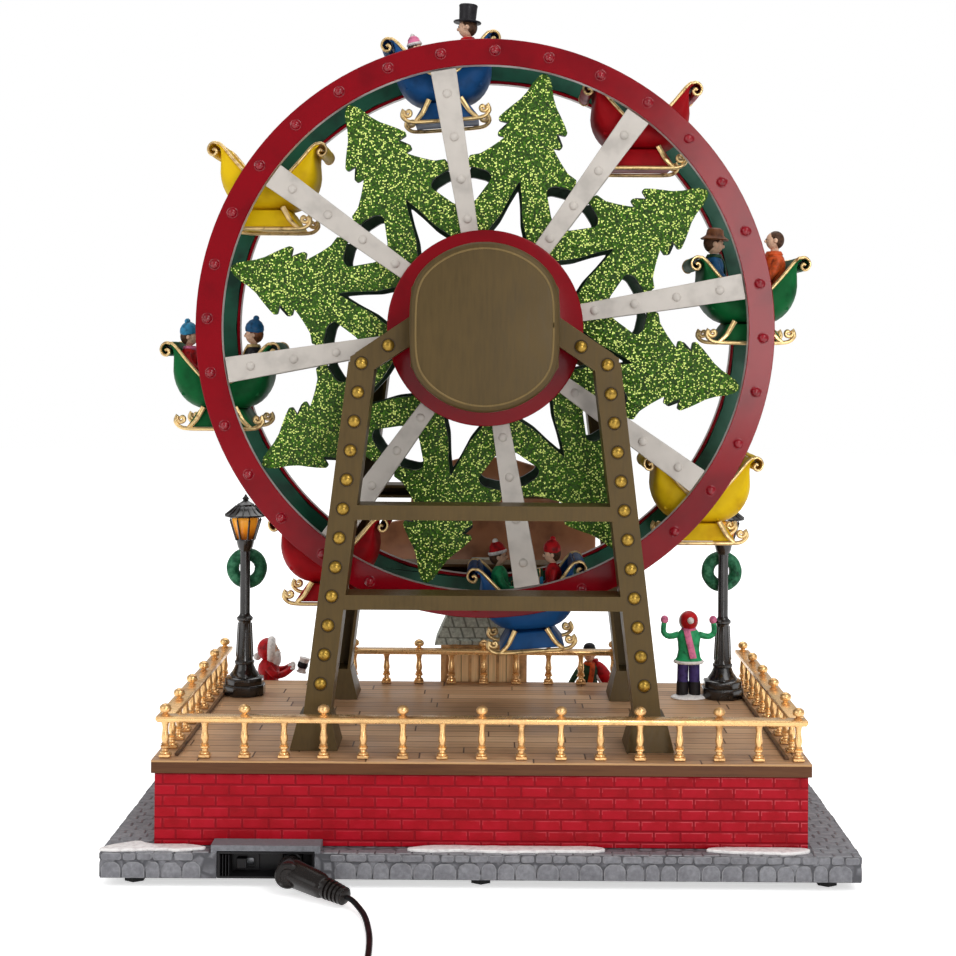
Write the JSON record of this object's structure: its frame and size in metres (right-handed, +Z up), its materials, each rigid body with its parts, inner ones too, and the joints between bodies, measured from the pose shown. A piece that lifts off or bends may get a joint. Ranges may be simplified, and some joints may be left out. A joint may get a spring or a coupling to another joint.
{
  "type": "lighted musical ferris wheel",
  "caption": "Tabletop Christmas ferris wheel: lit tree-spoked wheel with sleigh gondolas in two leg frames, on a railed wooden deck over a brick plinth and cobbled base.",
  "frame": {"origin": "on the standing surface, under the middle of the base slab", "axes": "+Z up, -Y towards the motor side that the picture shows, +X to the right in it; the wheel turns about an axis along Y"},
  "size_m": [0.376, 0.5236, 0.4581],
  "materials": {
    "stone": "painted moulded cobblestone with snow patches",
    "rubber_cover": "black moulded cover with rubber feet",
    "brick": "painted moulded brick",
    "wood": "printed wooden planks, satin",
    "gold": "copper gold metallic coat",
    "ring_red": "glossy red",
    "spoke_white": "satin off white",
    "tree_green": "green glitter on dark green",
    "board_green": "green circuit board",
    "bronze": "olive bronze metallic, brushed",
    "steel": "bright",
    "brass": "bright",
    "nylon": "natural nylon",
    "black": "black satin",
    "plastic": "black moulded",
    "amber": "translucent amber",
    "leaf": "painted garland",
    "tan": "painted tan boards",
    "shingle": "painted grey shingles",
    "sign_brown": "glossy brown",
    "coat_red": "painted",
    "coat_green": "painted",
    "coat_blue": "painted",
    "coat_dark": "painted",
    "sleigh_blue": "glossy with gold trim",
    "sleigh_red": "glossy with gold trim",
    "sleigh_green": "glossy with gold trim",
    "sleigh_yellow": "glossy with gold trim",
    "speaker_black": "paper cone in a steel basket"
  },
  "bodies": {
    "base": {"base_plate": "stone", "bottom_cover": "rubber_cover", "brick_plinth": "brick", "deck": "wood", "rail_rear": "gold", "rail_front": "gold", "rail_left": "gold", "rail_right": "gold", "frame_rear": "bronze", "frame_front": "bronze", "motor_cover": "bronze", "front_cap": "bronze", "gear_motor": "steel", "lamp_left": "black", "lamp_right": "black", "lantern_left": "amber", "lantern_right": "amber", "wreath_left": "leaf", "wreath_right": "leaf", "booth_body": "tan", "booth_roof": "shingle", "sign_board": "sign_brown", "santa": "coat_red", "man": "coat_green", "child": "coat_green", "jack_bay": "plastic", "dc_jack": "plastic", "switch_body": "steel", "circuit_board": "board_green", "speaker": "speaker_black", "dc_plug": "plastic", "cord": "plastic", "cord_coil": "plastic", "adapter": "plastic"},
    "wheel": {"axle": "steel", "drive_gear": "nylon", "wheel_hub": "ring_red", "ring_rear": "ring_red", "ring_front": "ring_red", "light_board_rear": "board_green", "light_board_front": "board_green", "spokes_rear": "spoke_white", "spokes_front": "spoke_white", "trees_rear": "tree_green", "trees_front": "tree_green"},
    "pinion": {"motor_pinion": "brass"},
    "switch": {"switch_knob": "plastic"},
    "car_1": {"gondola_1": "sleigh_green", "riders_1": "coat_blue"},
    "car_2": {"gondola_2": "sleigh_red"},
    "car_3": {"gondola_3": "sleigh_blue", "riders_3": "coat_dark"},
    "car_4": {"gondola_4": "sleigh_yellow"},
    "car_5": {"gondola_5": "sleigh_green", "riders_5": "coat_red"},
    "car_6": {"gondola_6": "sleigh_red"},
    "car_7": {"gondola_7": "sleigh_blue", "riders_7": "coat_green"},
    "car_8": {"gondola_8": "sleigh_yellow"}
  },
  "joints": [
    {"name": "wheel_spin", "type": "hinge", "parent": "base", "child": "wheel", "pos_m": [0, -0.024, 0.2775], "axis": [0, 1, 0], "continuous": true},
    {"name": "pinion_spin", "type": "hinge", "parent": "base", "child": "pinion", "pos_m": [0, -0.024, 0.24725], "axis": [0, 1, 0], "continuous": true},
    {"name": "switch_slide", "type": "slide", "parent": "base", "child": "switch", "axis": [1, 0, 0], "range_m": [0, 0.004]},
    {"name": "car_1_swing", "type": "hinge", "parent": "wheel", "child": "car_1", "pos_m": [0.14445, -0.024, 0.30193], "axis": [0, 1, 0], "continuous": true},
    {"name": "car_2_swing", "type": "hinge", "parent": "wheel", "child": "car_2", "pos_m": [0.08486, -0.024, 0.39692], "axis": [0, 1, 0], "continuous": true},
    {"name": "car_3_swing", "type": "hinge", "parent": "wheel", "child": "car_3", "pos_m": [-0.02443, -0.024, 0.42195], "axis": [0, 1, 0], "continuous": true},
    {"name": "car_4_swing", "type": "hinge", "parent": "wheel", "child": "car_4", "pos_m": [-0.11942, -0.024, 0.36236], "axis": [0, 1, 0], "continuous": true},
    {"name": "car_5_swing", "type": "hinge", "parent": "wheel", "child": "car_5", "pos_m": [-0.14445, -0.024, 0.25307], "axis": [0, 1, 0], "continuous": true},
    {"name": "car_6_swing", "type": "hinge", "parent": "wheel", "child": "car_6", "pos_m": [-0.08486, -0.024, 0.15808], "axis": [0, 1, 0], "continuous": true},
    {"name": "car_7_swing", "type": "hinge", "parent": "wheel", "child": "car_7", "pos_m": [0.02443, -0.024, 0.13305], "axis": [0, 1, 0], "continuous": true},
    {"name": "car_8_swing", "type": "hinge", "parent": "wheel", "child": "car_8", "pos_m": [0.11942, -0.024, 0.19264], "axis": [0, 1, 0], "continuous": true}
  ],
  "couplings": [
    {"joint": "pinion_spin", "follows": "wheel_spin", "ratio": -4},
    {"joint": "car_1_swing", "follows": "wheel_spin", "ratio": -1},
    {"joint": "car_2_swing", "follows": "wheel_spin", "ratio": -1},
    {"joint": "car_3_swing", "follows": "wheel_spin", "ratio": -1},
    {"joint": "car_4_swing", "follows": "wheel_spin", "ratio": -1},
    {"joint": "car_5_swing", "follows": "wheel_spin", "ratio": -1},
    {"joint": "car_6_swing", "follows": "wheel_spin", "ratio": -1},
    {"joint": "car_7_swing", "follows": "wheel_spin", "ratio": -1},
    {"joint": "car_8_swing", "follows": "wheel_spin", "ratio": -1}
  ]
}
